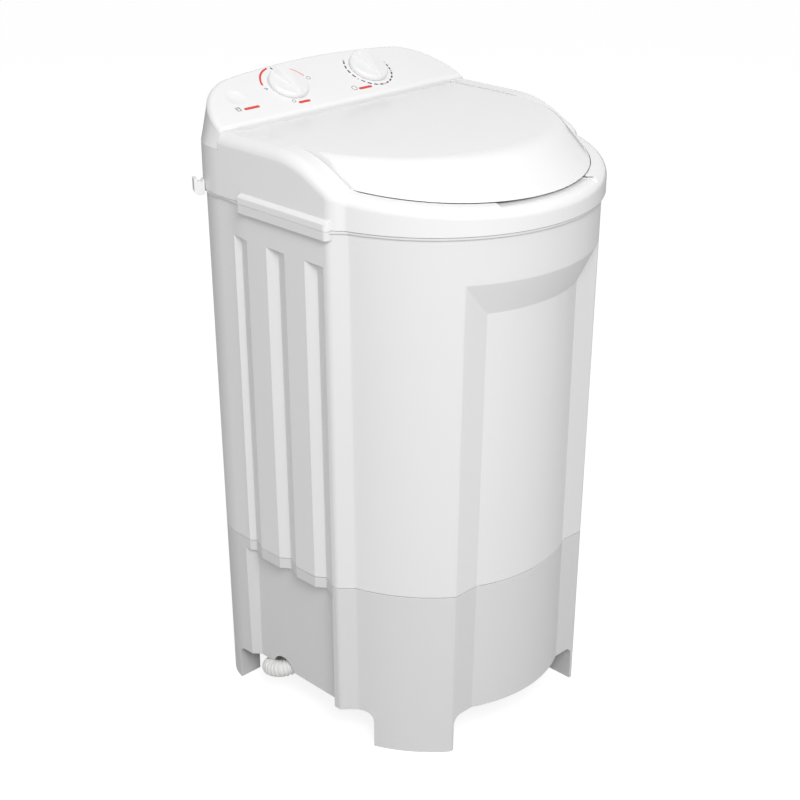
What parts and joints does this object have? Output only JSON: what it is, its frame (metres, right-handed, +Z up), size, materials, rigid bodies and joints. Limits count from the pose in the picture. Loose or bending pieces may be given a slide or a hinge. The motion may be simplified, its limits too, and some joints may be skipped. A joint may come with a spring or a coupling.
{
  "type": "semi-automatic washing machine",
  "caption": "Free-standing top-loading washing machine with a round front, hinged sloped lid, dial-controlled sloped panel, belt-driven pulsator and ribbed drain hose.",
  "frame": {"origin": "centre of the footprint on the floor, under the machine", "axes": "+Z up, -Y towards the round front where the user stands, +X to the user's right"},
  "size_m": [0.496, 0.4975, 0.9235],
  "materials": {
    "white_base": "satin moulded polypropylene",
    "white_cabinet": "satin moulded polypropylene",
    "white_tub": "smooth moulded polypropylene",
    "white_cover": "glossy moulded plastic",
    "white_knob": "glossy moulded plastic",
    "white_hose": "flexible ribbed polyethylene",
    "steel": "ground steel",
    "zinc_steel": "zinc-plated steel",
    "dark_plastic": "glass-filled polyamide",
    "bronze": "sintered bronze",
    "black_rubber": "matte rubber",
    "cast_alloy": "cast and turned aluminium",
    "motor_paint": "dark enamel"
  },
  "bodies": {
    "machine": {"base": "white_base", "cabinet": "white_cabinet", "wash_tub": "white_tub", "top_cover": "white_cover", "control_panel": "white_cover", "drain_hose": "white_hose", "hose_hook": "white_cover", "lid_hinge_pins": "steel", "selector_switch": "dark_plastic", "timer": "dark_plastic", "bearing_housing": "dark_plastic", "shaft_bushes": "bronze", "shaft_seal": "black_rubber", "drive_belt": "black_rubber", "motor": "motor_paint", "motor_bracket": "zinc_steel", "run_capacitor": "cast_alloy", "drain_fitting": "white_tub", "drain_nut": "white_tub", "drain_strainer": "white_tub", "hose_clamp": "steel", "bearing_screws": "zinc_steel", "motor_screws": "zinc_steel", "base_screws": "zinc_steel", "cord_gland": "dark_plastic"},
    "lid": {"lid": "white_cover"},
    "selector": {"selector_knob": "white_knob", "selector_shaft": "steel"},
    "timer": {"timer_knob": "white_knob", "timer_shaft": "steel"},
    "drive": {"pulsator": "white_tub", "pulsator_screw": "steel", "drive_shaft": "steel", "driven_pulley": "dark_plastic"},
    "rotor": {"motor_shaft": "steel", "motor_pulley": "cast_alloy"}
  },
  "joints": [
    {"name": "lid_hinge", "type": "hinge", "parent": "machine", "child": "lid", "pos_m": [0, 0.138, 0.8585], "axis": [-1, 0, 0], "range_deg": [0, 95]},
    {"name": "selector_turn", "type": "hinge", "parent": "machine", "child": "selector", "pos_m": [-0.074, 0.19958, 0.89729], "axis": [0, -0.4772, 0.8788], "range_deg": [-60, 60]},
    {"name": "timer_turn", "type": "hinge", "parent": "machine", "child": "timer", "pos_m": [0.081, 0.19958, 0.89729], "axis": [0, -0.4772, 0.8788], "range_deg": [-300, 0]},
    {"name": "drive_spin", "type": "hinge", "parent": "machine", "child": "drive", "pos_m": [0, -0.011, 0.167], "axis": [0, 0, 1], "continuous": true},
    {"name": "rotor_spin", "type": "hinge", "parent": "machine", "child": "rotor", "pos_m": [0, 0.113, 0.167], "axis": [0, 0, 1], "continuous": true}
  ],
  "couplings": [
    {"joint": "rotor_spin", "follows": "drive_spin", "ratio": 3.9524}
  ]
}
